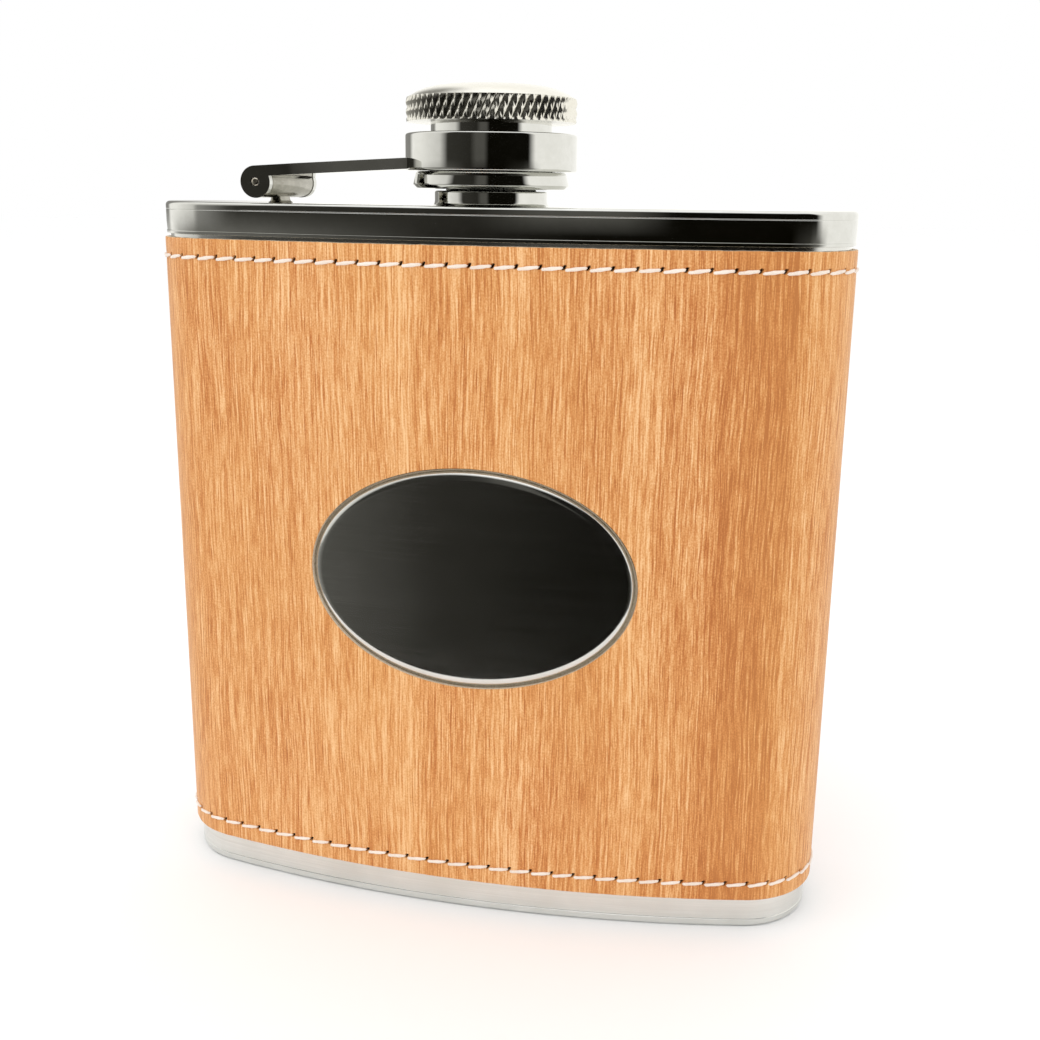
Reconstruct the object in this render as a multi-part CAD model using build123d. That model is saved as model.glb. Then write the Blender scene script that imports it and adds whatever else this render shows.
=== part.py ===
from build123d import *
from math import cos, radians, sin, sqrt
import os

# Hip flask with a captive screw cap. Millimetres, +Z up. The flask stands on its base at
# z = 0, its convex front faces -Y and its hollow back faces +Y. X runs along the width.

# Plan of the wrapped body: a kidney of four arcs. The neck is in the middle of the depth.
WIDTH = 95.0
FRONT_Y = -13.1
FRONT_RADIUS = 183.9
END_RADIUS = 11.2
BACK_RADIUS = 193.8

# Levels of the body.
BOTTOM_RIM = 1.2
WRAP_BOTTOM = 4.6
WRAP_TOP = 92.65
SKIRT_BOTTOM = 93.2
TOP = 97.5

# Thicknesses, and the inset of each layer from the outside of the wrap.
SHEET = 0.5
WRAP_THICKNESS = 0.78
GLUE_GAP = 0.02
SHELL_INSET = WRAP_THICKNESS + GLUE_GAP
SKIRT_INSET = SHELL_INSET - GLUE_GAP - SHEET
PANEL_STEP = 0.4
LIP_HEIGHT = 2.6

# Oval window in the wrap, and the embossed oval pad of the shell inside it.
OVAL_Z = 49.1
WINDOW_WIDTH = 45.2
WINDOW_HEIGHT = 30.5
PAD_GAP = 0.55
PAD_RISE = 1.0
PAD_SHOULDER = 0.8

# Stitches along both edges of the wrap.
STITCH_COUNT = 72
STITCH_LENGTH = 2.6
STITCH_WIDTH = 0.6
STITCH_RISE = 0.32
STITCH_SLANT = 11.0
STITCH_FROM_EDGE = 2.45
BUTT_JOINT = 0.25

# Neck.
NECK_Y = -1.6
NECK_BORE = 4.9
NECK_SPIGOT = 5.95
NECK_THREAD = 6.4
NECK_BASE = 7.4
NECK_BOTTOM = 96.3
NECK_SHOULDER = 99.35
NECK_TOP = 106.9

# Cap: a knurled head on a sleeve whose flared lip keeps the collar on.
CAP_BORE = 7.25
SHANK_RADIUS = 7.9
LIP_RADIUS = 10.2
LIP_BOTTOM = 99.56
LIP_TOP = 101.75
SLEEVE_CEILING = 108.0
SLEEVE_TOP = 109.4
HEAD_RADIUS = 11.1
HEAD_BOTTOM = 107.9
KNURL_TOP = 110.9
HEAD_TOP = 112.6
GASKET_THICKNESS = 1.0

# Collar of the captive arm.
COLLAR_BORE = 8.3
COLLAR_RADIUS = 11.2
COLLAR_BOTTOM = 101.8
COLLAR_TOP = 106.5

# Hinge of the captive arm: ears of the arm on both ends of a fixed barrel.
HINGE_X = -29.6
HINGE_Z = 100.15
EAR_RADIUS = 2.05
EAR_THICKNESS = 1.0
HINGE_HALF_WIDTH = 8.25
BARREL_RADIUS = 2.0
BARREL_PLAY = 0.1
PIN_RADIUS = 0.52
PIN_CLEARANCE = 0.05
PIN_PROUD = 0.12
POST_THICKNESS = 1.4
POST_LENGTH = 4.0
FORK_X = -27.25
TAPER_X = -24.2
ARM_HALF_WIDTH = 5.3
ARM_THICKNESS = 1.4
ARM_RISE = 1.3

# Centres of the plan's arcs.
END_X = WIDTH / 2 - END_RADIUS
FRONT_CENTRE_Y = FRONT_Y + FRONT_RADIUS
END_Y = FRONT_CENTRE_Y - sqrt((FRONT_RADIUS - END_RADIUS) ** 2 - END_X**2)
BACK_CENTRE_Y = END_Y + sqrt((BACK_RADIUS + END_RADIUS) ** 2 - END_X**2)


def outline(inset):
    """Closed kidney wire, moved inwards from the outside of the wrap."""
    front_radius = FRONT_RADIUS - inset
    end_radius = END_RADIUS - inset
    back_radius = BACK_RADIUS + inset
    front_scale = front_radius / (FRONT_RADIUS - END_RADIUS)
    front_x = END_X * front_scale
    front_y = FRONT_CENTRE_Y + (END_Y - FRONT_CENTRE_Y) * front_scale
    back_scale = end_radius / (BACK_RADIUS + END_RADIUS)
    back_x = END_X * (1 - back_scale)
    back_y = END_Y + (BACK_CENTRE_Y - END_Y) * back_scale
    arcs = [
        ThreePointArc((-front_x, front_y), (0, FRONT_Y + inset), (front_x, front_y)),
        ThreePointArc((front_x, front_y), (END_X + end_radius, END_Y), (back_x, back_y)),
        ThreePointArc((back_x, back_y), (0, BACK_CENTRE_Y - back_radius), (-back_x, back_y)),
        ThreePointArc((-back_x, back_y), (-END_X - end_radius, END_Y), (-front_x, front_y)),
    ]
    return Wire(arcs)


def block(inset, low, high):
    """Solid with the flask's plan between two levels."""
    return Pos(0, 0, low) * extrude(make_face(outline(inset)), high - low)


def ring(outer, inner, low, high):
    """Wall between two insets of the plan."""
    return block(outer, low, high) - block(inner, low - 1, high + 1)


def oval(shrink, depth):
    """Oval bar through the front of the flask."""
    plane = Plane(origin=(0, FRONT_Y - 5, OVAL_Z), x_dir=(1, 0, 0), z_dir=(0, -1, 0))
    shape = plane * Ellipse(WINDOW_WIDTH / 2 - shrink, WINDOW_HEIGHT / 2 - shrink)
    return extrude(shape, -depth)


def turned(points, centre=(0, NECK_Y)):
    """Solid of revolution about a vertical axis from (radius, level) points."""
    profile = make_face(Polyline(*[(r, 0, z) for r, z in points], close=True))
    return Pos(*centre, 0) * revolve(profile, Axis.Z, 360)


def edges_at(solid, level):
    """Edges that lie flat at one level."""
    return solid.edges().filter_by_position(Axis.Z, level - 0.01, level + 0.01)


def bottom_plate():
    """Pressed pan that closes the base, with a lip inside the shell."""
    inner = SHELL_INSET + SHEET
    pan = block(SHELL_INSET, 0, BOTTOM_RIM)
    pan = fillet(edges_at(pan, 0), 0.6)
    pan -= block(inner, SHEET, BOTTOM_RIM + 1)
    pan += block(3.4, SHEET - 0.1, SHEET + PANEL_STEP)
    pan -= block(3.4 + SHEET, -1, PANEL_STEP)
    return pan + ring(inner + GLUE_GAP, inner + SHEET, SHEET - 0.1, SHEET + LIP_HEIGHT)


def oval_pad(shrink, inset):
    """Raised oval of the shell, up to one inset of the plan."""
    pad = oval(shrink, 9) & block(inset, OVAL_Z - WINDOW_HEIGHT, OVAL_Z + WINDOW_HEIGHT)
    front = pad.edges().sort_by(Axis.Y)[0]
    return fillet(front, PAD_SHOULDER)


def body_shell():
    """Curved tube with the oval pad pushed out of its front."""
    top = TOP - SHEET - 0.05
    outside = block(SHELL_INSET, BOTTOM_RIM, top) + oval_pad(PAD_GAP, SHELL_INSET - PAD_RISE)
    inset = SHELL_INSET + SHEET
    inside = block(inset, 0, TOP) + oval_pad(PAD_GAP + SHEET, inset - PAD_RISE)
    return outside - inside


def top_plate():
    """Pressed lid with a skirt over the top of the shell and a hole for the neck."""
    lid = block(SKIRT_INSET, SKIRT_BOTTOM, TOP)
    lid = fillet(edges_at(lid, TOP), 0.55)
    lid -= block(SHELL_INSET - GLUE_GAP, SKIRT_BOTTOM - 1, TOP - SHEET)
    hole = Pos(0, NECK_Y, TOP) * Cylinder(NECK_SPIGOT + GLUE_GAP, 5)
    return lid - hole


def neck():
    """Turned neck: spigot, visible base with its solder fillet, and the threaded spout."""
    return turned(
        [
            (NECK_BORE, NECK_BOTTOM),
            (NECK_SPIGOT, NECK_BOTTOM),
            (NECK_SPIGOT, TOP),
            (NECK_BASE + 0.4, TOP),
            (NECK_BASE + 0.1, TOP + 0.15),
            (NECK_BASE, TOP + 0.4),
            (NECK_BASE, NECK_SHOULDER - 0.2),
            (NECK_BASE - 0.2, NECK_SHOULDER),
            (NECK_THREAD - 0.5, NECK_SHOULDER),
            (NECK_THREAD - 0.5, NECK_SHOULDER + 0.7),
            (NECK_THREAD, NECK_SHOULDER + 1.1),
            (NECK_THREAD, NECK_TOP - 0.6),
            (NECK_THREAD - 0.5, NECK_TOP),
            (NECK_BORE + 0.3, NECK_TOP),
            (NECK_BORE, NECK_TOP - 0.3),
        ]
    )


def wrap():
    """Sleeve glued round the shell, with the oval window and a butt joint at the back."""
    sleeve = ring(0, WRAP_THICKNESS, WRAP_BOTTOM, WRAP_TOP)
    joint = Pos(0, 10, OVAL_Z) * Box(BUTT_JOINT, 6, 2 * TOP)
    return sleeve - oval(0, 9) - joint


def stitch_row(level):
    """Slanted stitches that lie on the wrap, evenly spaced all the way round."""
    path = outline(0)
    stitches = []
    for index in range(STITCH_COUNT):
        place = (index + 0.5) / STITCH_COUNT
        point = path @ place
        along = path % place
        out = Vector(along.Y, -along.X, 0)
        centre = Vector(point.X, point.Y, level) + out * (STITCH_RISE / 2 + GLUE_GAP)
        plane = Plane(origin=centre, x_dir=along, z_dir=out)
        bar = Rot(0, 0, STITCH_SLANT) * Box(STITCH_LENGTH, STITCH_WIDTH, STITCH_RISE)
        stitches.append(plane * bar)
    return Compound(children=stitches)


def cap_collar():
    """Ring of the arm that turns loosely on the shank of the cap."""
    edge = 0.4
    return turned(
        [
            (COLLAR_BORE, COLLAR_BOTTOM + edge / 2),
            (COLLAR_BORE + edge / 2, COLLAR_BOTTOM),
            (COLLAR_RADIUS - edge, COLLAR_BOTTOM),
            (COLLAR_RADIUS, COLLAR_BOTTOM + edge),
            (COLLAR_RADIUS, COLLAR_TOP - edge),
            (COLLAR_RADIUS - edge, COLLAR_TOP),
            (COLLAR_BORE + edge / 2, COLLAR_TOP),
            (COLLAR_BORE, COLLAR_TOP - edge / 2),
        ]
    )


def arm_plan():
    """The arm seen from above: a fork for the barrel, then a taper to the collar."""
    half = HINGE_HALF_WIDTH
    inner = half - EAR_THICKNESS
    tip = HINGE_X - EAR_RADIUS - 1
    points = [
        (tip, -half),
        (TAPER_X, -half),
        (-COLLAR_RADIUS + 2.5, -ARM_HALF_WIDTH),
        (-COLLAR_RADIUS + 2.5, ARM_HALF_WIDTH),
        (TAPER_X, half),
        (tip, half),
        (tip, inner),
        (FORK_X, inner),
        (FORK_X, -inner),
        (tip, -inner),
    ]
    return Pos(0, NECK_Y) * make_face(Polyline(*points, close=True))


def arm_side():
    """The arm seen from the front: a round ear, then a strap that rises to the collar."""
    top = HINGE_Z + EAR_RADIUS
    end = -COLLAR_RADIUS + 3
    strap = make_face(
        Polyline(
            (HINGE_X, top),
            (end, top + ARM_RISE),
            (end, top + ARM_RISE - ARM_THICKNESS),
            (HINGE_X, top - ARM_THICKNESS),
            close=True,
        )
    )
    return Plane.XZ * (strap + Pos(HINGE_X, HINGE_Z) * Circle(EAR_RADIUS))


def pin_bar(radius, half_length):
    """Round bar on the hinge axis."""
    return Pos(HINGE_X, NECK_Y, HINGE_Z) * Rot(90, 0, 0) * Cylinder(radius, 2 * half_length)


def hinge_arm():
    """Stamped strap from the hinge ears to the collar."""
    plan = Pos(0, 0, TOP) * extrude(arm_plan(), 10)
    side = extrude(arm_side(), 30, both=True)
    collar = Pos(0, NECK_Y, TOP) * Cylinder(COLLAR_RADIUS, 40)
    return (plan & side) - collar - pin_bar(PIN_RADIUS, 20)


def hinge_pin():
    """Pin riveted over the outsides of the two ears."""
    pin = pin_bar(PIN_RADIUS, HINGE_HALF_WIDTH + PIN_PROUD)
    return chamfer(pin.edges().filter_by(GeomType.CIRCLE), PIN_PROUD)


def hinge_lug():
    """Barrel between the ears, on a post that is soldered to the top plate."""
    length = 2 * (HINGE_HALF_WIDTH - EAR_THICKNESS - BARREL_PLAY)
    barrel = pin_bar(BARREL_RADIUS, length / 2)
    height = HINGE_Z - TOP
    post = Pos(HINGE_X, NECK_Y, TOP + height / 2) * Box(POST_THICKNESS, POST_LENGTH, height)
    post = fillet(post.edges().filter_by(Axis.Z), 0.5)
    foot = Pos(HINGE_X, NECK_Y, TOP + 0.1) * Box(POST_THICKNESS + 0.8, POST_LENGTH + 0.8, 0.2)
    foot = fillet(foot.edges().filter_by(Axis.Z), 0.8)
    return barrel + post + foot - pin_bar(PIN_RADIUS + PIN_CLEARANCE, 20)


def cap_sleeve():
    """Closed sleeve that goes over the neck, with the flared lip under the collar."""
    return turned(
        [
            (0, SLEEVE_CEILING),
            (CAP_BORE, SLEEVE_CEILING),
            (CAP_BORE, LIP_BOTTOM),
            (SHANK_RADIUS + 0.6, LIP_BOTTOM),
            (LIP_RADIUS - 0.15, LIP_BOTTOM + 0.3),
            (LIP_RADIUS, LIP_BOTTOM + 0.5),
            (LIP_RADIUS - 0.15, LIP_BOTTOM + 0.7),
            (LIP_RADIUS - 0.7, LIP_TOP - 0.3),
            (LIP_RADIUS - 0.9, LIP_TOP),
            (SHANK_RADIUS, LIP_TOP),
            (SHANK_RADIUS, SLEEVE_TOP),
            (0, SLEEVE_TOP),
        ]
    )


def cap_head():
    """Grip of the cap: a knurled band below a low dome, pressed on the sleeve."""
    bevel = 0.25
    dome_edge = HEAD_RADIUS - 0.5
    shoulder = KNURL_TOP + 0.25
    rise = HEAD_TOP - shoulder
    middle = dome_edge * sin(radians(50))
    crown = shoulder + rise * cos(radians(50))
    section = Polyline(
        (0, 0, HEAD_TOP),
        (0, 0, SLEEVE_TOP),
        (SHANK_RADIUS, 0, SLEEVE_TOP),
        (SHANK_RADIUS, 0, HEAD_BOTTOM),
        (HEAD_RADIUS - bevel, 0, HEAD_BOTTOM),
        (HEAD_RADIUS, 0, HEAD_BOTTOM + bevel),
        (HEAD_RADIUS, 0, KNURL_TOP - bevel),
        (HEAD_RADIUS - bevel, 0, KNURL_TOP),
        (dome_edge, 0, KNURL_TOP),
        (dome_edge, 0, shoulder),
    )
    dome = Spline(
        (dome_edge, 0, shoulder),
        (middle, 0, crown),
        (0, 0, HEAD_TOP),
        tangents=[(0, 0, 1), (-1, 0, 0)],
    )
    profile = section + dome
    return Pos(0, NECK_Y, 0) * revolve(make_face(profile), Axis.Z, 360)


def cap_gasket():
    """Sealing disc between the ceiling of the sleeve and the rim of the neck."""
    centre = SLEEVE_CEILING - GASKET_THICKNESS / 2
    return Pos(0, NECK_Y, centre) * Cylinder(CAP_BORE, GASKET_THICKNESS)


PIECES = {
    "body_shell": body_shell(),
    "bottom_plate": bottom_plate(),
    "top_plate": top_plate(),
    "neck": neck(),
    "wrap": wrap(),
    "wrap_stitches_top": stitch_row(WRAP_TOP - STITCH_FROM_EDGE),
    "wrap_stitches_bottom": stitch_row(WRAP_BOTTOM + STITCH_FROM_EDGE),
    "hinge_lug": hinge_lug(),
    "hinge_pin": hinge_pin(),
    "hinge_arm": hinge_arm(),
    "cap_collar": cap_collar(),
    "cap_sleeve": cap_sleeve(),
    "cap_head": cap_head(),
    "cap_gasket": cap_gasket(),
}

os.makedirs("parts", exist_ok=True)
for name, piece in PIECES.items():
    export_step(piece, f"parts/{name}.step")
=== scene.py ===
import math

import bmesh
import bpy
import numpy as np
from mathutils import Matrix, Vector, noise
from mathutils.geometry import tessellate_polygon


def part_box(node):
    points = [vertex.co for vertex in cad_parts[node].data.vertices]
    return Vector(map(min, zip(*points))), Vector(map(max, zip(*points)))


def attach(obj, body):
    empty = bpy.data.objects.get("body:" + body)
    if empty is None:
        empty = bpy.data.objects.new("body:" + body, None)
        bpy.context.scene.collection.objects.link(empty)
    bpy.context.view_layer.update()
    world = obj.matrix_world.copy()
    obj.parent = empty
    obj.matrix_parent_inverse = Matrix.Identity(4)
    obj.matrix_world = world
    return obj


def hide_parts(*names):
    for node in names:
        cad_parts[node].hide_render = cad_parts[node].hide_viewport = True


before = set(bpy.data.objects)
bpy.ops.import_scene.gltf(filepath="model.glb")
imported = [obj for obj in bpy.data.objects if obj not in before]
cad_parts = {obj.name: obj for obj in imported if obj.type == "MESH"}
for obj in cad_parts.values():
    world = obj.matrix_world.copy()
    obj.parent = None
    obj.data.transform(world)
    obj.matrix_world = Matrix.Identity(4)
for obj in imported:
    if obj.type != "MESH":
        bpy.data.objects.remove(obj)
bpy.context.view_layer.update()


# ---- Shell ----
# The flask's body is a tube of stainless sheet, drawn to a kidney plan, with an oval pad
# pressed out of its front. It is satin brushed from side to side. Sizes are millimetres.
FRONT_RADIUS = 183.9
END_RADIUS = 11.2
BACK_RADIUS = 193.8
SHEET = 0.5
SHELL_INSET = 0.8
OVAL_LEVEL = 49.1
WINDOW_HALF = (22.6, 15.25)
PAD_HALF = (22.22, 14.87)
PAD_RISE = 1.0
PAD_ROLL = 1.2
PATCH_HALF = (27.0, 19.0)
EDGE_FOLD = 0.06
PAD_STEPS = (0.12, 0.4, 1.2, 3.0, 5.5, 8.0, 10.5, 12.5)


def in_mm(corners):
    """Corners of a box in millimetres."""
    return [corner * 1000 for corner in corners]


wrap_low, wrap_high = in_mm(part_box("wrap"))
shell_low, shell_high = in_mm(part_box("body_shell"))
end_x = wrap_high.x - END_RADIUS
front_centre = wrap_low.y + FRONT_RADIUS
end_y = front_centre - math.sqrt((FRONT_RADIUS - END_RADIUS) ** 2 - end_x**2)
back_centre = end_y + math.sqrt((BACK_RADIUS + END_RADIUS) ** 2 - end_x**2)
front_half = math.asin(end_x / (FRONT_RADIUS - END_RADIUS))
back_half = math.asin(end_x / (BACK_RADIUS + END_RADIUS))
front_length = 2 * front_half * FRONT_RADIUS
back_length = 2 * back_half * BACK_RADIUS
end_length = (math.pi - front_half + back_half) * END_RADIUS
girth = front_length + back_length + 2 * end_length


def plan_at(distance):
    """Points on the outside of the flask's plan and outward directions, at distances round it.

    The distance starts in the middle of the back and goes round the left end to the front."""
    distance = np.asarray(distance, float) % girth
    mirrored = distance > girth / 2
    run = np.where(mirrored, girth - distance, distance)
    back = run / BACK_RADIUS
    turn = (run - back_length / 2) / END_RADIUS - back_half
    front = front_half - (run - back_length / 2 - end_length) / FRONT_RADIUS
    on_back = run < back_length / 2
    on_end = ~on_back & (run < back_length / 2 + end_length)
    out_x = np.select([on_back, on_end], [np.sin(back), -np.sin(turn)], -np.sin(front))
    out_y = np.select([on_back, on_end], [np.cos(back), np.cos(turn)], -np.cos(front))
    out = np.stack([out_x, out_y], -1)
    at_back = np.array([0, back_centre]) - BACK_RADIUS * out
    at_end = np.array([-end_x, end_y]) + END_RADIUS * out
    at_front = np.array([0, front_centre]) + FRONT_RADIUS * out
    place = np.where(on_end[..., None], at_end, at_front)
    place = np.where(on_back[..., None], at_back, place)
    flip = np.where(mirrored, -1.0, 1.0)
    place[..., 0] *= flip
    out[..., 0] *= flip
    return place, out


def rolled(flat):
    """Points in space from (distance round, level, inset) points of an unrolled sheet."""
    place, out = plan_at(flat[:, 0])
    return np.column_stack([place - out * flat[:, 2:3], flat[:, 1]])


def woven(rows, closed=True):
    """Faces between neighbouring rows of point numbers. A number of -1 leaves a gap."""
    faces = []
    for low, high in zip(rows, rows[1:]):
        for k in range(len(low) if closed else len(low) - 1):
            after = (k + 1) % len(low)
            face = list(dict.fromkeys([low[k], low[after], high[after], high[k]]))
            if len(face) > 2 and min(face) >= 0:
                faces.append(face)
    return faces


def sheet_with_oval(around, levels, inset, rings, closed=True, pole=None):
    """Unrolled sheet in rows and columns, whose oval opening on the front gets more rings.

    A ring is (share of the way to the oval, half width, half height, inset)."""
    middle = girth / 2
    columns = np.flatnonzero(np.abs(around - middle) <= PATCH_HALF[0])
    rows = np.flatnonzero(np.abs(levels - OVAL_LEVEL) <= PATCH_HALF[1])
    keep = np.ones((len(levels), len(around)), bool)
    keep[rows[0] + 1 : rows[-1], columns[0] + 1 : columns[-1]] = False
    number = np.full(keep.shape, -1)
    number[keep] = np.arange(keep.sum())
    s, z = np.meshgrid(around, levels)
    points = [np.column_stack([s[keep], z[keep], np.full(keep.sum(), float(inset))])]
    loop = [*number[rows[0], columns], *number[rows[1:], columns[-1]]]
    loop += [*number[rows[-1], columns[-2::-1]], *number[rows[-2:0:-1], columns[0]]]
    edge = points[0][loop]
    rise, run = (edge[:, 1] - OVAL_LEVEL) / WINDOW_HALF[1], (edge[:, 0] - middle) / WINDOW_HALF[0]
    angle = np.arctan2(rise, run)
    loops = [[int(k) for k in loop]]
    total = len(points[0])
    for share, half_width, half_height, ring_inset in rings:
        oval_s = middle + half_width * np.cos(angle)
        oval_z = OVAL_LEVEL + half_height * np.sin(angle)
        place = edge[:, :2] + (np.column_stack([oval_s, oval_z]) - edge[:, :2]) * share
        points.append(np.column_stack([place, np.full(len(loop), ring_inset)]))
        loops.append(list(range(total, total + len(loop))))
        total += len(loop)
    if pole is not None:
        points.append(np.array([[middle, OVAL_LEVEL, pole]]))
        loops.append([total] * len(loop))
    return np.vstack(points), woven(number.tolist(), closed) + woven(loops)


def thickened(flat, faces, depth):
    """Closed solid from an unrolled sheet: a second sheet below it and walls at its edges.

    Returns the points and faces, and the number of the first wall face."""
    below = flat.copy()
    below[:, 2] = depth
    edges = {}
    for face in faces:
        for a, b in zip(face, face[1:] + face[:1]):
            if (b, a) in edges:
                del edges[(b, a)]
            else:
                edges[(a, b)] = True
    size = len(flat)
    solid = list(faces) + [[k + size for k in reversed(face)] for face in faces]
    first_wall = len(solid)
    solid += [[b, a, a + size, b + size] for a, b in edges]
    return np.vstack([flat, below]), solid, first_wall


def placed(name, data):
    """Object in the scene that shows a mesh, a lamp or a camera."""
    piece = bpy.data.objects.new(name, data)
    bpy.context.scene.collection.objects.link(piece)
    return piece


def make_mesh(name, points, faces, *materials, crease=35):
    """Object from millimetre points, smooth apart from edges sharper than the crease."""
    mesh = bpy.data.meshes.new(name)
    mesh.from_pydata((np.asarray(points) * 0.001).tolist(), [], faces)
    for material in materials:
        mesh.materials.append(material)
    work = bmesh.new()
    work.from_mesh(mesh)
    bmesh.ops.recalc_face_normals(work, faces=work.faces)
    work.to_mesh(mesh)
    work.free()
    mesh.polygons.foreach_set("use_smooth", [True] * len(mesh.polygons))
    mesh.set_sharp_from_angle(angle=math.radians(crease))
    return placed(name, mesh)


def add(tree, kind, inputs=None, **settings):
    """Node with its settings and inputs. An input is a value or another node's output."""
    node = tree.nodes.new(kind)
    for key, value in settings.items():
        setattr(node, key, value)
    for key, value in (inputs or {}).items():
        if isinstance(value, bpy.types.NodeSocket):
            tree.links.new(value, node.inputs[key])
        else:
            node.inputs[key].default_value = value
    return node


def chart(red, green, blue):
    """Linear colour from the 0 to 255 values of a colour chart."""
    linear = []
    for value in (red, green, blue):
        share = value / 255
        linear.append(share / 12.92 if share <= 0.04045 else ((share + 0.055) / 1.055) ** 2.4)
    return (*linear, 1.0)


def new_material(name, looks):
    """Material, its tree and its shader. The caller fills in the rest of the tree."""
    material = bpy.data.materials.new(name)
    material.use_nodes = True
    tree = material.node_tree
    tree.nodes.clear()
    shader = add(tree, "ShaderNodeBsdfPrincipled", looks)
    add(tree, "ShaderNodeOutputMaterial", {"Surface": shader.outputs["BSDF"]})
    return material, tree, shader


def clouds(tree, place, scale, detail, roughness=0.5):
    """Noise over a place. A larger scale makes it finer."""
    inputs = {"Vector": place, "Scale": scale, "Detail": detail, "Roughness": roughness}
    return add(tree, "ShaderNodeTexNoise", inputs).outputs["Fac"]


def remapped(tree, value, low, high, to_low=0.0, to_high=1.0):
    """Value taken from one range to another."""
    inputs = {"Value": value, "From Min": low, "From Max": high, "To Min": to_low, "To Max": to_high}
    return add(tree, "ShaderNodeMapRange", inputs).outputs["Result"]


def mixed(tree, share, first, second):
    """Colour that lies a share of the way from the first to the second."""
    inputs = {0: share, 6: first, 7: second}
    return add(tree, "ShaderNodeMix", inputs, data_type="RGBA").outputs[2]


def ramped(tree, value, stops):
    """Colour of a value on a ramp. A stop is (position, colour)."""
    node = add(tree, "ShaderNodeValToRGB", {"Fac": value})
    elements = node.color_ramp.elements
    while len(elements) < len(stops):
        elements.new(0.5)
    for element, (position, colour) in zip(elements, stops):
        element.position = position
        element.color = colour
    return node.outputs["Color"]


def finish_material(tree, shader, colour, height, strength, depth):
    """Links the colour of a material and its fine relief, whose depth is in metres."""
    tree.links.new(colour, shader.inputs["Base Color"])
    bump = add(tree, "ShaderNodeBump", {"Height": height, "Strength": strength, "Distance": depth})
    tree.links.new(bump.outputs["Normal"], shader.inputs["Normal"])


def stainless(name, light, dark, roughness, grain, depth):
    """Stainless steel with fine lines. The grain is lines per metre along x, y and z."""
    material, tree, shader = new_material(name, {"Metallic": 1.0})
    place = add(tree, "ShaderNodeTexCoord").outputs["Object"]
    lines = add(tree, "ShaderNodeMapping", {"Vector": place, "Scale": grain})
    brush = clouds(tree, lines.outputs["Vector"], 1.0, 4.0, 0.6)
    cloud = clouds(tree, place, 160.0, 3.0)
    tone = add(tree, "ShaderNodeMath", {0: brush, 1: cloud}, operation="MULTIPLY").outputs[0]
    tree.links.new(remapped(tree, brush, 0.3, 0.7, *roughness), shader.inputs["Roughness"])
    colour = ramped(tree, tone, [(0.12, chart(*dark)), (0.38, chart(*light))])
    finish_material(tree, shader, colour, brush, 1.0, depth)
    return material


def grown(half, by):
    """Half width and half height of an oval that is larger all round."""
    return half[0] + by, half[1] + by


satin_steel = stainless(
    "satin steel", (226, 226, 222), (212, 212, 207), (0.10, 0.17), (60, 60, 5200), 1.6e-7
)

SHELL_COLUMNS = 480
shell_around = np.arange(SHELL_COLUMNS) * girth / SHELL_COLUMNS
patch_levels = np.linspace(OVAL_LEVEL - PATCH_HALF[1], OVAL_LEVEL + PATCH_HALF[1], 27)
low_rows = [shell_low.z, shell_low.z + 0.06, 2.0, 4.4, 8.0]
shell_levels = np.concatenate([low_rows, patch_levels, [80.0, 92.0, 94.5, shell_high.z]])
pad_rings = [(0.5, *PAD_HALF, SHELL_INSET), (1.0, *grown(PAD_HALF, 0.25), SHELL_INSET)]
pad_rings.append((1.0, *grown(PAD_HALF, 0.06), SHELL_INSET - 0.04))
for step in np.radians(np.linspace(0, 90, 9)):
    level = SHELL_INSET - 0.1 - (PAD_RISE - 0.1) * math.sin(step)
    pad_rings.append((1.0, *grown(PAD_HALF, -PAD_ROLL * (1 - math.cos(step))), level))
pad_top = SHELL_INSET - PAD_RISE
for inner in PAD_STEPS:
    pad_rings.append((1.0, *grown(PAD_HALF, -PAD_ROLL - inner), pad_top))
middle_half = pad_rings[-1][1:3]
for share in (0.8, 0.6, 0.42, 0.27, 0.15, 0.06):
    pad_rings.append((1.0, middle_half[0] * share, middle_half[1] * share, pad_top))
shell_flat, shell_faces = sheet_with_oval(
    shell_around, shell_levels, SHELL_INSET, pad_rings, pole=pad_top
)
shell_flat[shell_flat[:, 1] < shell_low.z + 0.01, 2] += EDGE_FOLD
shell = make_mesh("body_shell_sheet", rolled(shell_flat), shell_faces, satin_steel)
wall = shell.modifiers.new("wall", "SOLIDIFY")
wall.thickness = SHEET * 0.001
wall.offset = -1
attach(shell, "flask")
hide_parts("body_shell")


# ---- Bottom plate ----
# The base is a pressed pan of the same sheet. Its rolled edge shows below the shell, its
# lip goes up inside it, and the middle of its underside is pressed in so that it stands flat.
RIM_ROUND = 0.6
FOOT_WIDTH = 3.1
PANEL_STEP = 0.4
LIP_TOP = 3.1
PLATE_COLUMNS = 720


def outline_ring(inset, level, count=PLATE_COLUMNS):
    """Points round the plan at one inset and one level."""
    around = np.arange(count) * girth / count
    return rolled(np.column_stack([around, np.full(count, level), np.full(count, inset)]))


def stacked(rings, closed=False):
    """Points and faces of rings that have the same number of points."""
    size = len(rings[0])
    rows = [list(range(k * size, (k + 1) * size)) for k in range(len(rings))]
    return np.vstack(rings), woven(rows + rows[:1] if closed else rows)


def plan_ladder(first, columns=PLATE_COLUMNS):
    """Faces that close a ring of the plan, from its front to its back."""
    left = columns // 4
    rungs = [((left + k) % columns, (left - k) % columns) for k in range(columns // 2 + 1)]
    return [
        list(dict.fromkeys([first + a, first + c, first + d, first + b]))
        for (a, b), (c, d) in zip(rungs, rungs[1:])
    ]


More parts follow.
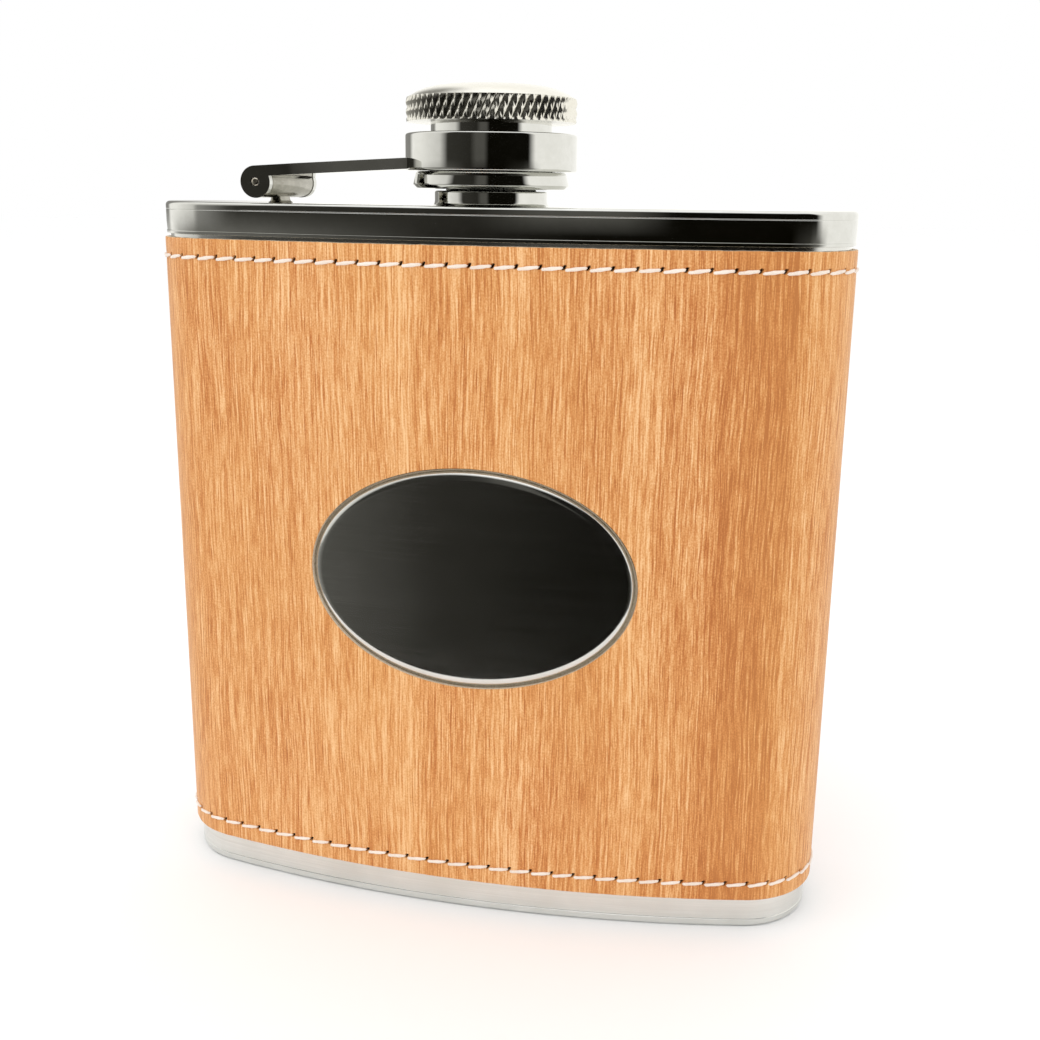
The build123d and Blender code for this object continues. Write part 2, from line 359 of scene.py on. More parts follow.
rim_top = shell_low.z
inner = SHELL_INSET + SHEET
plate_profile = [(inner + 2.1, SHEET + PANEL_STEP), (inner + 2.1, SHEET)]
plate_profile += [(inner + 0.52, SHEET), (inner + 0.52, LIP_TOP), (inner + 0.02, LIP_TOP)]
plate_profile += [(inner + 0.02, rim_top), (SHELL_INSET + 0.08, rim_top)]
plate_profile.append((SHELL_INSET, rim_top - 0.08))
for step in np.radians(np.linspace(0, 90, 9)):
    inset = SHELL_INSET + RIM_ROUND * (1 - math.cos(step))
    plate_profile.append((inset, RIM_ROUND * (1 - math.sin(step))))
foot = SHELL_INSET + FOOT_WIDTH
plate_profile += [(foot - 0.15, 0.0), (foot - 0.04, 0.05), (foot, 0.15)]
plate_profile += [(foot + 0.02, PANEL_STEP - 0.12), (foot + 0.1, PANEL_STEP - 0.02)]
plate_profile.append((foot + 0.25, PANEL_STEP))
plate_points, plate_faces = stacked([outline_ring(*corner) for corner in plate_profile])
plate_faces += plan_ladder(0) + plan_ladder((len(plate_profile) - 1) * PLATE_COLUMNS)
bottom_plate = make_mesh("bottom_pan", plate_points, plate_faces, satin_steel)
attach(bottom_plate, "flask")
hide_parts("bottom_plate")


# ---- Top plate ----
# The lid is pressed from the same sheet, with a skirt that goes over the shell above the
# wrap. It is polished like a mirror. A fine crease runs round it above the taper.
LID_ROUND = 0.55
SKIRT_INSET = 0.28
BEAD_HEIGHT = 0.42
TAPER_HEIGHT = 1.6
TAPER = 0.065
CREASE_LEVEL = 96.45
CREASE_DEPTH = 0.04

polished_steel = stainless(
    "polished steel", (220, 220, 216), (211, 211, 206), (0.025, 0.06), (700, 700, 900), 1.0e-7
)
lid_low, lid_high = in_mm(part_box("top_plate"))
neck_low, neck_high = in_mm(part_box("neck"))
neck_y = (neck_low.y + neck_high.y) / 2
NECK_SPIGOT = 5.97


def hole_ring(level, radius=NECK_SPIGOT):
    """Ring of the neck hole, one point for each point of the plan."""
    outer = outline_ring(0, level)
    away = outer[:, :2] - np.array([0, neck_y])
    away /= np.linalg.norm(away, axis=1)[:, None]
    return np.column_stack([away * radius + np.array([0, neck_y]), outer[:, 2]])


lid_profile = [
    (SKIRT_INSET + 0.5, lid_high.z - SHEET),
    (SKIRT_INSET + 0.5, lid_low.z + 0.05),
    (SKIRT_INSET + 0.42, lid_low.z),
    (SKIRT_INSET + 0.12, lid_low.z),
    (SKIRT_INSET + 0.03, lid_low.z + 0.03),
    (SKIRT_INSET, lid_low.z + 0.12),
    (SKIRT_INSET, lid_low.z + BEAD_HEIGHT),
    (SKIRT_INSET + TAPER, lid_low.z + BEAD_HEIGHT + 0.04),
    (SKIRT_INSET, lid_low.z + TAPER_HEIGHT),
    (SKIRT_INSET, CREASE_LEVEL - 0.07),
    (SKIRT_INSET + CREASE_DEPTH, CREASE_LEVEL - 0.02),
    (SKIRT_INSET + CREASE_DEPTH, CREASE_LEVEL + 0.02),
    (SKIRT_INSET, CREASE_LEVEL + 0.07),
    (SKIRT_INSET, lid_high.z - 0.75),
]
for step in np.radians(np.linspace(0, 90, 11)):
    inset = SKIRT_INSET + LID_ROUND * (1 - math.cos(step))
    lid_profile.append((inset, lid_high.z - LID_ROUND * (1 - math.sin(step))))
lid_profile.append((SKIRT_INSET + LID_ROUND + 0.15, lid_high.z))
lid_rings = [outline_ring(*corner) for corner in lid_profile]
outer_ring, hole = lid_rings[-1], hole_ring(lid_high.z)
lid_rings += [outer_ring + (hole - outer_ring) * share for share in (0.15, 0.45, 0.75)]
lid_rings += [hole, hole_ring(lid_high.z - SHEET)]
lid_points, lid_faces = stacked(lid_rings, closed=True)
lid = make_mesh("top_lid", lid_points, lid_faces, polished_steel)
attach(lid, "flask")
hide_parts("top_plate")


# ---- Neck ----
# The neck is turned from steel, with a screw thread for the cap. It stands in the hole of
# the lid and is soldered round its foot.
THREAD_PITCH = 1.7
THREAD_ROOT = 6.35
THREAD_HEIGHT = 0.55


def eased(corners, steps=4):
    """Profile whose corners are rounded. A corner is (radius, level, rounding)."""
    points = []
    for k, (radius, level, rounding) in enumerate(corners):
        here = np.array([radius, level], float)
        if not rounding or k in (0, len(corners) - 1):
            points.append(tuple(here))
            continue
        before = np.array(corners[k - 1][:2], float) - here
        after = np.array(corners[k + 1][:2], float) - here
        lengths = np.linalg.norm(before), np.linalg.norm(after)
        trim = min(rounding, 0.48 * min(lengths))
        start = here + before / lengths[0] * trim
        end = here + after / lengths[1] * trim
        for t in np.linspace(0, 1, steps + 1):
            points.append(tuple((1 - t) ** 2 * start + 2 * t * (1 - t) * here + t * t * end))
    return points


def turned(profile, segments=128, closed=True):
    """Points and faces of a shape turned about a vertical axis through the origin."""
    angles = np.arange(segments) * 2 * math.pi / segments
    points, rows = [], []
    for radius, level in profile:
        if radius < 1e-6:
            rows.append([len(points)] * segments)
            points.append((0.0, 0.0, level))
        else:
            rows.append(list(range(len(points), len(points) + segments)))
            points += [(radius * math.cos(a), radius * math.sin(a), level) for a in angles]
    return np.array(points, float), woven(rows + rows[:1] if closed else rows)


def threaded(points, low, high, radius, height, start=0.0):
    """Turned points whose wall at a radius gets a screw thread between two levels."""
    reach = np.hypot(points[:, 0], points[:, 1])
    level = points[:, 2]
    wall = (np.abs(reach - radius) < 0.01) & (level > low) & (level < high)
    turn = np.arctan2(points[:, 1], points[:, 0]) / (2 * math.pi)
    phase = (level / THREAD_PITCH - turn + start) % 1.0
    ridge = np.clip(1.6 - np.abs(phase - 0.5) * 6.4, 0, 1)
    ridge = ridge * ridge * (3 - 2 * ridge)
    fade = np.clip(np.minimum(level - low, high - level) / 0.7, 0, 1)
    grown = 1 + np.where(wall, ridge * fade * height, 0) / np.maximum(reach, 0.01)
    return points * np.column_stack([grown, grown, np.ones(len(points))])


neck_foot = lid_high.z
neck_profile = eased(
    [(4.9, neck_low.z, 0.0), (5.95, neck_low.z, 0.1), (5.95, neck_foot, 0.0), (7.8, neck_foot, 0.0)]
    + [(7.62, neck_foot + 0.08, 0.05), (7.46, neck_foot + 0.26, 0.15), (7.4, neck_foot + 0.6, 0.2)]
    + [(7.4, neck_foot + 1.85, 0.25), (5.9, neck_foot + 1.85, 0.2), (5.9, neck_foot + 2.6, 0.2)]
    + [(THREAD_ROOT, neck_foot + 3.0, 0.1)]
)
thread_low, thread_high = neck_foot + 3.0, neck_high.z - 0.6
neck_profile += [(THREAD_ROOT, level) for level in np.linspace(thread_low, thread_high, 62)[1:]]
neck_profile += eased(
    [(THREAD_ROOT, thread_high, 0.0), (5.9, neck_high.z, 0.25), (5.2, neck_high.z, 0.2)]
    + [(4.9, neck_high.z - 0.3, 0.15), (4.9, neck_high.z - 2.0, 0.0)]
)[1:]
neck_points, neck_faces = turned(neck_profile)
neck_points = threaded(neck_points, thread_low, thread_high, THREAD_ROOT, THREAD_HEIGHT)
neck = make_mesh("threaded_neck", neck_points + [0, neck_y, 0], neck_faces, polished_steel)
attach(neck, "flask")
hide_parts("neck")


# ---- Wrap ----
# The wrap is a sleeve of faux leather printed with wood grain. It is glued round the shell,
# butted at the back, with an oval window cut in the front and a line of needle holes along
# its top and bottom, painted near-black inside as painted shade. The cut edges show the pale
# backing.
WRAP_THICKNESS = 0.78
JOINT_HALF = 0.05
STITCHES = 72
SEAM_FROM_EDGE = 2.45
HOLE_STEP = 0.12
HOLE_HALF = (0.21, 0.30)
HOLE_LEAN = 0.45
HOLE_LIFT = 0.16
HOLE_DEPTH = 0.5
SEAM_SINK = 0.07
EDGE_STRETCH = 0.1
EDGE_ROWS = np.array([0, 0.04, 0.14, 0.7])
EDGE_ROUND = (0.09, 0.03)
RAGGED = 0.035

pitch = girth / STITCHES
top_seam = wrap_high.z - SEAM_FROM_EDGE
wrap_top = wrap_high.z + EDGE_STRETCH
bottom_seam = wrap_low.z + SEAM_FROM_EDGE
near_hole = np.arange(-3, 4) * HOLE_STEP
one_pitch = np.concatenate([near_hole, [0.82, pitch / 2, pitch - 0.82]])
wrap_around = (np.arange(STITCHES)[:, None] * pitch + one_pitch).ravel() % girth
wrap_around = np.sort(wrap_around)
clear = (wrap_around > JOINT_HALF + 0.05) & (wrap_around < girth - JOINT_HALF - 0.05)
wrap_around = np.concatenate([[JOINT_HALF], wrap_around[clear], [girth - JOINT_HALF]])
seam_rows = np.concatenate([[-1.1, -0.62], near_hole + HOLE_LIFT, [0.82, 1.25]])
wrap_levels = np.concatenate(
    [
        wrap_low.z + EDGE_ROWS,
        bottom_seam + seam_rows,
        [wrap_low.z + 6, 20.0],
        patch_levels,
        [78.0, wrap_high.z - 6],
        top_seam + seam_rows,
        wrap_top - EDGE_ROWS[::-1],
    ]
)
window_rings = [(share, *WINDOW_HALF, 0.0) for share in (0.35, 0.7, 0.9)]
for larger, inset in ((0.12, 0.0), (0.03, 0.03), (0.0, 0.09)):
    window_rings.append((1.0, *grown(WINDOW_HALF, larger), inset))
wrap_flat, wrap_faces = sheet_with_oval(wrap_around, wrap_levels, 0.0, window_rings, closed=False)
# Painted shade: how far each point lies in a needle hole, where the wrap is painted near-black.
painted_hole_shade = np.zeros(len(wrap_flat))
for seam in (bottom_seam, top_seam):
    rise = wrap_flat[:, 1] - seam
    side = (wrap_flat[:, 0] + pitch / 2) % pitch - pitch / 2
    sink = SEAM_SINK * np.exp(-((rise / 0.55) ** 2)) * (0.6 + 0.4 * np.exp(-((side / 0.5) ** 2)))
    up = rise - HOLE_LIFT
    away = np.hypot((side - HOLE_LEAN * up) / HOLE_HALF[0], up / HOLE_HALF[1])
    open_here = np.clip((1.15 - away) / 0.3, 0, 1)
    painted_hole_shade = np.maximum(painted_hole_shade, open_here)
    wrap_flat[:, 2] += sink + HOLE_DEPTH * open_here
from_edge = np.minimum(wrap_flat[:, 1] - wrap_low.z, wrap_top - wrap_flat[:, 1])
wrap_flat[from_edge < 0.01, 2] += EDGE_ROUND[0]
wrap_flat[(from_edge > 0.01) & (from_edge < 0.05), 2] += EDGE_ROUND[1]
for row in np.flatnonzero(from_edge < 0.2):
    along, level = wrap_flat[row, :2]
    ragged = noise.noise(Vector((along * 0.9, level * 0.05, 3.0)))
    ragged += 0.6 * noise.noise(Vector((along * 3.1, level * 0.05, 8.0)))
    inward = 1 if level < OVAL_LEVEL else -1
    wrap_flat[row, 1] += inward * RAGGED * (1 + ragged)

leatherette, tree, shader = new_material(
    "wood grain leatherette", {"Specular IOR Level": 0.35, "IOR": 1.45, "Sheen Weight": 0.04}
)


def made(kind, inputs=None, output=0, **settings):
    """Output of a new node of the tree that is being made."""
    return add(tree, kind, inputs, **settings).outputs[output]


def reckon(operation, *values):
    """Result of one arithmetic step of the tree that is being made."""
    return made("ShaderNodeMath", dict(enumerate(values)), operation=operation)


sheet_map = made("ShaderNodeUVMap", uv_map="unrolled")


def grain(across, along, detail, roughness=0.55, warp=sheet_map):
    """Streaks of the printed grain: sizes in millimetres across and along the wood."""
    scale = (1000 / across, 1000 / along, 1.0)
    scaled = made("ShaderNodeMapping", {"Vector": warp, "Scale": scale})
    return clouds(tree, scaled, 1.0, detail, roughness)


wander = reckon("MULTIPLY", reckon("SUBTRACT", grain(14, 32, 2.0), 0.5), 0.0018)
shift = made("ShaderNodeCombineXYZ", {"X": wander})
bent = made("ShaderNodeVectorMath", {0: sheet_map, 1: shift}, operation="ADD")
fine = grain(0.17, 3.0, 3.0, 0.62, warp=bent)
speckle = grain(0.22, 0.26, 1.0)
weighted = [
    (grain(7.5, 260, 2.0, warp=bent), 0.18),
    (grain(1.1, 34, 3.0, warp=bent), 0.3),
    (fine, 1.15),
    (grain(0.28, 16, 2.0, 0.6, warp=bent), 1.35),
    (speckle, 0.55),
]
# A band is (share of the way round the wrap, grey).
bands = [(0.0, 0.50), (0.08, 0.46), (0.085, 0.54), (0.16, 0.50), (0.21, 0.42), (0.215, 0.50)]
bands += [(0.30, 0.47), (0.36, 0.53), (0.444, 0.54), (0.450, 0.62), (0.464, 0.62), (0.467, 0.48)]
bands += [(0.515, 0.50), (0.520, 0.60), (0.534, 0.58), (0.538, 0.48), (0.592, 0.45)]
bands += [(0.597, 0.58), (0.611, 0.55), (0.615, 0.46), (0.640, 0.44), (0.650, 0.30)]
bands += [(0.688, 0.31), (0.694, 0.52), (0.76, 0.55), (0.765, 0.44), (0.84, 0.50)]
bands += [(0.90, 0.55), (0.905, 0.45), (1.0, 0.50)]
way_round = reckon("MULTIPLY", made("ShaderNodeSeparateXYZ", {"Vector": bent}), 1000 / girth)
print_tone = ramped(tree, way_round, [(share, (grey, grey, grey, 1)) for share, grey in bands])
for streak, weight in weighted:
    print_tone = reckon("MULTIPLY_ADD", reckon("SUBTRACT", streak, 0.5), weight, print_tone)
pore_mask = remapped(tree, grain(0.3, 6.0, 1.0, 0.5, warp=bent), 0.60, 0.70)
print_tone = reckon("MULTIPLY_ADD", pore_mask, -0.22, print_tone)
wood_stops = [(0.10, (170, 88, 38)), (0.22, (185, 104, 50)), (0.32, (198, 121, 64))]
wood_stops += [(0.42, (210, 139, 81)), (0.50, (219, 152, 94)), (0.59, (229, 168, 111))]
wood_stops += [(0.70, (241, 188, 134)), (0.82, (250, 206, 156))]
wood = ramped(tree, print_tone, [(tone, chart(*colour)) for tone, colour in wood_stops])
hue = reckon("MULTIPLY", grain(18, 60, 2.0), 0.5)
tinted = mixed(tree, hue, wood, chart(229, 169, 92))
# Painted shade: the needle holes are painted near-black, standing in for the shade inside them.
hole_shade_share = add(tree, "ShaderNodeAttribute", attribute_name="needle_hole_painted_shade").outputs["Fac"]
with_painted_hole_shade = mixed(tree, hole_shade_share, tinted, chart(20, 14, 12))
leather_relief = reckon("MULTIPLY_ADD", pore_mask, -0.5, reckon("ADD", fine, speckle))
finish_material(tree, shader, with_painted_hole_shade, leather_relief, 0.5, 0.00003)
tree.links.new(remapped(tree, fine, 0.3, 0.7, 0.42, 0.56), shader.inputs["Roughness"])

cut_backing, tree, shader = new_material("cut edge of the backing", {"Roughness": 0.9})
place = made("ShaderNodeTexCoord", output="Object")
fibre = clouds(tree, place, 5200.0, 3.0)
colour = ramped(tree, fibre, [(0.3, chart(222, 196, 160)), (0.7, chart(250, 238, 220))])
finish_material(tree, shader, colour, fibre, 0.6, 0.00004)

solid_flat, solid_faces, first_wall = thickened(wrap_flat, wrap_faces, WRAP_THICKNESS)
wrap = make_mesh(
    "wood_grain_wrap", rolled(solid_flat), solid_faces, leatherette, cut_backing, crease=50
)
attribute = wrap.data.attributes.new("needle_hole_painted_shade", "FLOAT", "POINT")
attribute.data.foreach_set("value", np.concatenate([painted_hole_shade, np.zeros(len(painted_hole_shade))]).astype(np.float32))
wrap.data.polygons.foreach_set(
    "material_index", [0 if k < first_wall else 1 for k in range(len(solid_faces))]
)
unrolled = solid_flat[:, :2] * 0.001
unrolled[len(wrap_flat) :, 0] += 0.3
layer = wrap.data.uv_layers.new(name="unrolled")
corner_points = np.empty(len(wrap.data.loops), int)
wrap.data.loops.foreach_get("vertex_index", corner_points)
layer.data.foreach_set("uv", unrolled[corner_points].ravel())
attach(wrap, "flask")
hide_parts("wrap")


# ---- Stitches ----
# A line of slanted stitches runs round the wrap below its top edge and above its bottom
# edge. They are of cream polyester thread in two plies, pulled down into the needle holes.
STITCH_LENGTH = 2.85
STITCH_WIDTH = 0.46
STITCH_FLATNESS = 0.78
STITCH_SLANT = 7.0
STITCH_PLY_GROOVE = 0.028
STITCH_DIP = 0.3
STITCH_STAND = 0.06
SLANT_SPREAD = 1.6
PLY_TURN = 4200.0

thread, tree, shader = new_material(
    "cream thread", {"Roughness": 0.8, "Sheen Weight": 0.25, "Specular IOR Level": 0.3}
)
place = made("ShaderNodeTexCoord", output="Object")
fibre = clouds(tree, place, 9000.0, 3.0)
stretch = clouds(tree, place, 330.0, 1.0)
tone = reckon("MULTIPLY_ADD", stretch, 0.5, reckon("MULTIPLY", fibre, 0.5))
colour = ramped(tree, tone, [(0.3, chart(232, 214, 198)), (0.65, chart(248, 238, 226))])
finish_material(tree, shader, colour, fibre, 0.5, 0.00004)


def new_rule(name, inputs, output):
    """Empty geometry tree and its inputs. An input is (name, kind, value)."""
    rule = bpy.data.node_groups.new(name, "GeometryNodeTree")
    for label, kind, value in inputs:
        socket = rule.interface.new_socket(label, in_out="INPUT", socket_type="NodeSocket" + kind)
        if value is not None:
            socket.default_value = value
    rule.interface.new_socket(output, in_out="OUTPUT", socket_type="NodeSocketGeometry")
    return rule, add(rule, "NodeGroupInput").outputs


stitcher, given = new_rule(
    "stitches along a seam",
    [
        ("Seam", "Geometry", None),
        ("Stitches", "Int", STITCHES),
        ("Length", "Float", STITCH_LENGTH * 0.001),
        ("Width", "Float", STITCH_WIDTH * 0.001),
        ("Flatness", "Float", STITCH_FLATNESS),
        ("Slant", "Float", math.radians(STITCH_SLANT)),
        ("Slant spread", "Float", math.radians(SLANT_SPREAD)),
        ("Ply groove", "Float", STITCH_PLY_GROOVE * 0.001),
        ("Dip of the ends", "Float", STITCH_DIP * 0.001),
        ("Seed", "Int", 7),
        ("Thread", "Material", None),
    ],
    "Row",
)
tree = stitcher
start, end = (
    made("ShaderNodeCombineXYZ", {"X": reckon("MULTIPLY", given["Length"], half)})
    for half in (-0.5, 0.5)
)
core = made("GeometryNodeCurvePrimitiveLine", {"Start": start, "End": end})
core = made("GeometryNodeResampleCurve", {"Curve": core, "Count": 13})
share = made("GeometryNodeSplineParameter")
from_middle = reckon("ABSOLUTE", reckon("MULTIPLY_ADD", share, 2.0, -1.0))
plump = reckon("POWER", reckon("SUBTRACT", 1.02, reckon("POWER", from_middle, 5.0)), 0.5)
core = made("GeometryNodeSetCurveRadius", {"Curve": core, "Radius": plump})
dip = reckon("MULTIPLY", given["Dip of the ends"], -1.0)
drop = made("ShaderNodeCombineXYZ", {"Z": reckon("MULTIPLY", reckon("POWER", from_middle, 6.0), dip)})
core = made("GeometryNodeSetPosition", {"Geometry": core, "Offset": drop})
half_width = reckon("MULTIPLY", given["Width"], 0.5)
section = made("GeometryNodeCurvePrimitiveCircle", {"Resolution": 10, "Radius": half_width})
sweep = {"Curve": core, "Profile Curve": section, "Fill Caps": True, "Scale": plump}
body = made("GeometryNodeCurveToMesh", sweep)
where = add(tree, "ShaderNodeSeparateXYZ", {0: made("GeometryNodeInputPosition")}).outputs
turn = reckon("ARCTAN2", where["Z"], where["Y"])
twist = reckon("MULTIPLY_ADD", where["X"], PLY_TURN, reckon("MULTIPLY", turn, 2.0))
groove = reckon("MULTIPLY", reckon("COSINE", twist), given["Ply groove"])
normal = made("GeometryNodeInputNormal")
outwards = made("ShaderNodeVectorMath", {0: normal, "Scale": groove}, operation="SCALE")
body = made("GeometryNodeSetPosition", {"Geometry": body, "Offset": outwards})
flat = made("ShaderNodeCombineXYZ", {"X": 1.0, "Y": 1.0, "Z": given["Flatness"]})
body = made("GeometryNodeTransform", {"Geometry": body, "Scale": flat})
seam_curve = made("GeometryNodeMeshToCurve", {"Mesh": given["Seam"]})
places = made("GeometryNodeResampleCurve", {"Curve": seam_curve, "Count": given["Stitches"]})
along = made("GeometryNodeInputTangent")
upright = {0: along, 1: (0.0, 0.0, 1.0)}
facing = {0: made("ShaderNodeVectorMath", upright, operation="CROSS_PRODUCT"), 1: along}
facing = made("FunctionNodeAxesToRotation", facing, primary_axis="Z", secondary_axis="X")
least = reckon("MULTIPLY", given["Slant spread"], -1.0)
drawn = {2: least, 3: given["Slant spread"], "Seed": given["Seed"]}
lean = reckon("ADD", given["Slant"], made("FunctionNodeRandomValue", drawn, 1))
leaning = {"Rotation": facing, "Rotate By": made("ShaderNodeCombineXYZ", {"Z": lean})}
leaning = made("FunctionNodeRotateRotation", leaning, rotation_space="LOCAL")
drawn = {2: 0.96, 3: 1.03, "Seed": reckon("ADD", given["Seed"], 1.0)}
length = made("FunctionNodeRandomValue", drawn, 1)
scale = made("ShaderNodeCombineXYZ", {"X": length, "Y": 1.0, "Z": 1.0})
laid = {"Points": places, "Instance": body, "Rotation": leaning, "Scale": scale}
real = made("GeometryNodeRealizeInstances", {0: made("GeometryNodeInstanceOnPoints", laid)})
smooth = made("GeometryNodeSetShadeSmooth", {"Geometry": real})
coloured = made("GeometryNodeSetMaterial", {"Geometry": smooth, "Material": given["Thread"]})
add(tree, "NodeGroupOutput", {"Row": coloured})


def run_rule(name, base, rule, settings):
    """Plain mesh object from a geometry tree that is run once on a base mesh."""
    modifier = base.modifiers.new("made by rule", "NODES")
    modifier.node_group = rule
    for item in rule.interface.items_tree:
        if item.item_type == "SOCKET" and item.in_out == "INPUT" and item.name in settings:
            modifier[item.identifier] = settings[item.name]
    evaluated = base.evaluated_get(bpy.context.evaluated_depsgraph_get())
    mesh = bpy.data.meshes.new_from_object(evaluated)
    mesh.name = name
    base.modifiers.remove(modifier)
    bpy.data.objects.remove(base)
    return placed(name, mesh)


for name, node, level, seed in (
    ("thread_row_top", "wrap_stitches_top", top_seam, 7),
    ("thread_row_bottom", "wrap_stitches_bottom", bottom_seam, 31),
):
    seam_count = 8 * STITCHES
    seam_around = np.arange(seam_count) * girth / seam_count + pitch / 2
    flat_line = [seam_around, np.full(seam_count, level), np.full(seam_count, -STITCH_STAND)]
    seam_points = rolled(np.column_stack(flat_line)) * 0.001
    seam_mesh = bpy.data.meshes.new(name + " seam")
    steps = [(k, (k + 1) % seam_count) for k in range(seam_count)]
    seam_mesh.from_pydata(seam_points.tolist(), steps, [])
    seam_line = placed(name + " seam", seam_mesh)
    row = run_rule(name, seam_line, stitcher, {"Seed": seed, "Thread": thread})
    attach(row, "flask")
    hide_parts(node)


# ---- Hinge ----
# The captive arm turns on a barrel that stands on a small post soldered to the lid. A steel
# pin goes through the barrel and is riveted over the two ears of the arm.
EAR_RADIUS = 2.05
EAR_THICKNESS = 1.0
PIN_RADIUS = 0.52
PIN_HOLE = 0.62
BARREL_RADIUS = 2.0
POST_HALF = (0.7, 2.0)

lug_low, lug_high = in_mm(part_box("hinge_lug"))
pin_low, pin_high = in_mm(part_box("hinge_pin"))
hinge_x = (pin_low.x + pin_high.x) / 2
hinge_z = (pin_low.z + pin_high.z) / 2
barrel_half = (lug_high.y - lug_low.y) / 2


def joined(*parts):
    """One list of points and faces from several."""
    points, faces = [], []
    for part_points, part_faces in parts:
        offset = sum(len(p) for p in points)
        points.append(np.asarray(part_points, float))
        faces += [[int(k) + offset for k in face] for face in part_faces]
    return np.vstack(points), faces


def across(points, centre):
    """Turned points laid along the hinge axis."""
    return points[:, [0, 2, 1]] + np.array(centre)


half_barrel = [(BARREL_RADIUS, barrel_half, 0.25), (PIN_HOLE, barrel_half, 0.1)]
half_barrel.append((PIN_HOLE, barrel_half - 1, 0))
other_half = [(radius, -level, rounding) for radius, level, rounding in half_barrel[::-1]]
barrel_points, barrel_faces = turned(eased(other_half + half_barrel), 72)
post_rings = []
foot_flare = [(0.0, 0.40), (0.05, 0.33), (0.14, 0.18), (0.3, 0.06), (0.6, 0.0)]
post_levels = [(lid_high.z + rise, flare) for rise, flare in foot_flare]
for level, flare in post_levels + [(hinge_z - BARREL_RADIUS + 0.5, 0.0)]:
    corners = []
    for side_x, side_y, start in ((1, 1, 0), (-1, 1, 90), (-1, -1, 180), (1, -1, 270)):
        for angle in np.radians(np.linspace(start, start + 90, 9)):
            x = side_x * (POST_HALF[0] - 0.5) + (0.5 + flare) * math.cos(angle) + hinge_x
            y = side_y * (POST_HALF[1] - 0.5) + (0.5 + flare) * math.sin(angle) + neck_y
            corners.append((x, y, level))
    post_rings.append(np.array(corners))
post_points, post_faces = stacked(post_rings)
post_count = len(post_rings[0])
numbers = list(range(len(post_points)))
post_faces += [numbers[:post_count], numbers[-post_count:]]
lug_points, lug_faces = joined(
    (across(barrel_points, (hinge_x, neck_y, hinge_z)), barrel_faces), (post_points, post_faces)
)
# Painted shade: the barrel's steel is given a darker colour than the other steel, standing in for the
# dark surroundings it reflects.
shaded_barrel_steel = stainless(
    "barrel steel with painted shade", (176, 173, 162), (140, 137, 126), (0.12, 0.2), (900, 300, 900), 3.0e-7
)
lug = make_mesh("hinge_barrel", lug_points, lug_faces, shaded_barrel_steel)
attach(lug, "flask")
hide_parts("hinge_lug")

pin_steel = stainless(
    "pin steel", (226, 220, 205), (196, 188, 170), (0.16, 0.3), (1800, 300, 1800), 1.0e-6
)
pin_half = (pin_high.y - pin_low.y) / 2
half_pin = [(0.3, pin_half - 0.02), (0.44, pin_half - 0.07), (PIN_RADIUS, pin_half - 0.16)]
pin_profile = [(0, -pin_half)] + [(radius, -level) for radius, level in half_pin]
pin_profile += half_pin[::-1] + [(0, pin_half)]
pin_points, pin_faces = turned(pin_profile, 32, closed=False)
pin_points = across(pin_points, (hinge_x, neck_y, hinge_z))
pin = make_mesh("hinge_rivet_pin", pin_points, pin_faces, pin_steel)
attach(pin, "arm")
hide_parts("hinge_pin")


# ---- Arm and collar ----
# The arm is a strap stamped from thick steel: two ears for the pin, then a taper to the
# collar, a ring that turns loosely on the cap and keeps it from being lost.
FORK_X = -27.25
TAPER_X = -24.2
ARM_HALF = 5.3
ARM_THICKNESS = 1.4
ARM_SLOPE = 1.3 / 21.4
ARM_EASE = 0.14

arm_half_width = (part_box("hinge_arm")[1].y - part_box("hinge_arm")[0].y) * 500
collar_low, collar_high = in_mm(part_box("cap_collar"))
collar_radius = (collar_high.x - collar_low.x) / 2
strap_end = collar_radius - 0.35
strap_top = hinge_z + EAR_RADIUS


def strap_level(x, side):
    """Level of the top (1) or the underside (0) of the strap."""
    return strap_top + ARM_SLOPE * (x - hinge_x) - (0 if side else ARM_THICKNESS)


fork_low, fork_high = strap_level(FORK_X, 0), strap_level(FORK_X, 1)
ear_profile = [(FORK_X, fork_low)]
for angle in np.radians(np.linspace(21.5, -270, 44)):
    ear_profile.append((hinge_x + EAR_RADIUS * math.cos(angle), hinge_z + EAR_RADIUS * math.sin(angle)))
ear_profile.append((FORK_X, fork_high))
hole_profile = [
    (hinge_x + PIN_HOLE * math.cos(a), hinge_z + PIN_HOLE * math.sin(a))
    for a in np.radians(np.arange(0, 360, 15))
]


def ear(inside, outside):
    """Ear between two distances from the middle, open where it meets the strap."""
    rim, step = len(ear_profile), len(ear_profile) + len(hole_profile)
    points = [(x, y + neck_y, z) for y in (inside, outside) for x, z in ear_profile + hole_profile]
    outline = [Vector((x, z, 0)) for x, z in ear_profile]
    opening = [Vector((x, z, 0)) for x, z in hole_profile]
    faces = []
    for offset in (0, step):
        faces += [[k + offset for k in triple] for triple in tessellate_polygon([outline, opening])]
    for first, last, closed in ((0, rim, False), (rim, step, True)):
        faces += woven([list(range(first, last)), list(range(first + step, last + step))], closed)
    return np.array(points), faces


